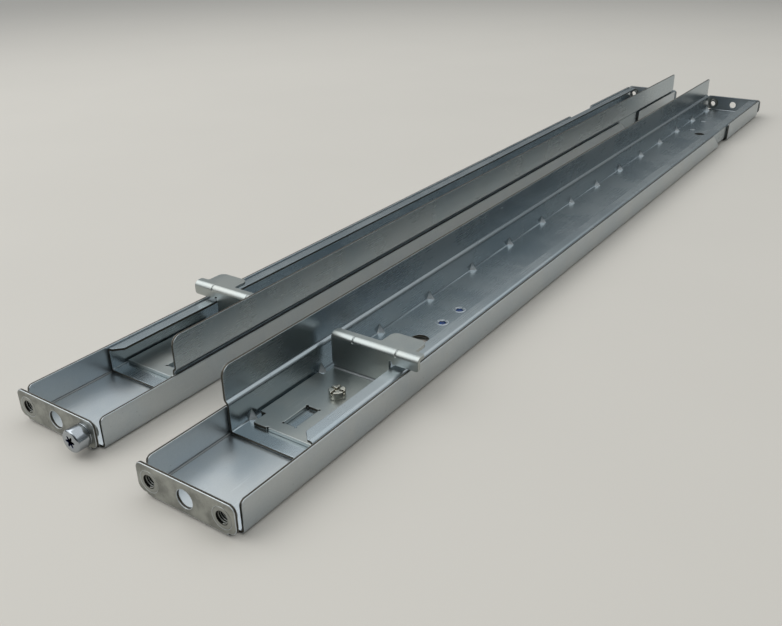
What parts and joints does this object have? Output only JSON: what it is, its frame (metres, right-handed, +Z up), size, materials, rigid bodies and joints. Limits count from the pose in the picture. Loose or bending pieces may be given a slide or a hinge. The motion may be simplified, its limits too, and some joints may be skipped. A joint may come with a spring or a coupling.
{
  "type": "sliding server rail pair",
  "caption": "Pair of telescoping sheet-steel rails that carry a rack server: front channels with end plates, sliding ledge rails with rear brackets and stop brackets, and a locating stud.",
  "frame": {"origin": "on the table, midway between the two rails and midway along the pair", "axes": "+X along the rails from the front end plates to the rear ones, +Y from the right-hand rail to the left-hand rail, +Z up from the webs they lie on"},
  "size_m": [0.6278, 0.1218, 0.028],
  "materials": {
    "zinc_channel": "blue zinc-plated sheet steel",
    "zinc_ledge": "blue zinc-plated sheet steel",
    "zinc_bracket": "zinc-plated sheet steel",
    "nut_zinc": "zinc-plated steel",
    "block_steel": "plain steel",
    "screw_zinc": "blue zinc-plated steel",
    "screw_nickel": "nickel-plated steel",
    "rivet_zinc": "zinc-plated steel",
    "stud_chrome": "bright polished steel"
  },
  "bodies": {
    "front_channels": {"right_front_channel": "zinc_channel", "right_front_nuts": "nut_zinc", "left_front_channel": "zinc_channel", "left_front_nuts": "nut_zinc", "left_locating_stud": "stud_chrome"},
    "right_slide": {"right_ledge_rail": "zinc_ledge", "right_slide_block": "block_steel", "right_slide_screws": "screw_zinc", "right_stop_bracket": "zinc_bracket", "right_stop_screw": "screw_nickel", "right_rear_bracket": "zinc_channel", "right_rear_rivets": "rivet_zinc", "right_rear_nuts": "nut_zinc"},
    "left_slide": {"left_ledge_rail": "zinc_ledge", "left_slide_block": "block_steel", "left_slide_screws": "screw_zinc", "left_stop_bracket": "zinc_bracket", "left_stop_screw": "screw_nickel", "left_rear_bracket": "zinc_channel", "left_rear_rivets": "rivet_zinc", "left_rear_nuts": "nut_zinc"}
  },
  "joints": [
    {"name": "right_rail_slide", "type": "slide", "parent": "front_channels", "child": "right_slide", "axis": [1, 0, 0], "range_m": [-0.02, 0.29]},
    {"name": "left_rail_slide", "type": "slide", "parent": "front_channels", "child": "left_slide", "axis": [1, 0, 0], "range_m": [-0.02, 0.29]}
  ]
}
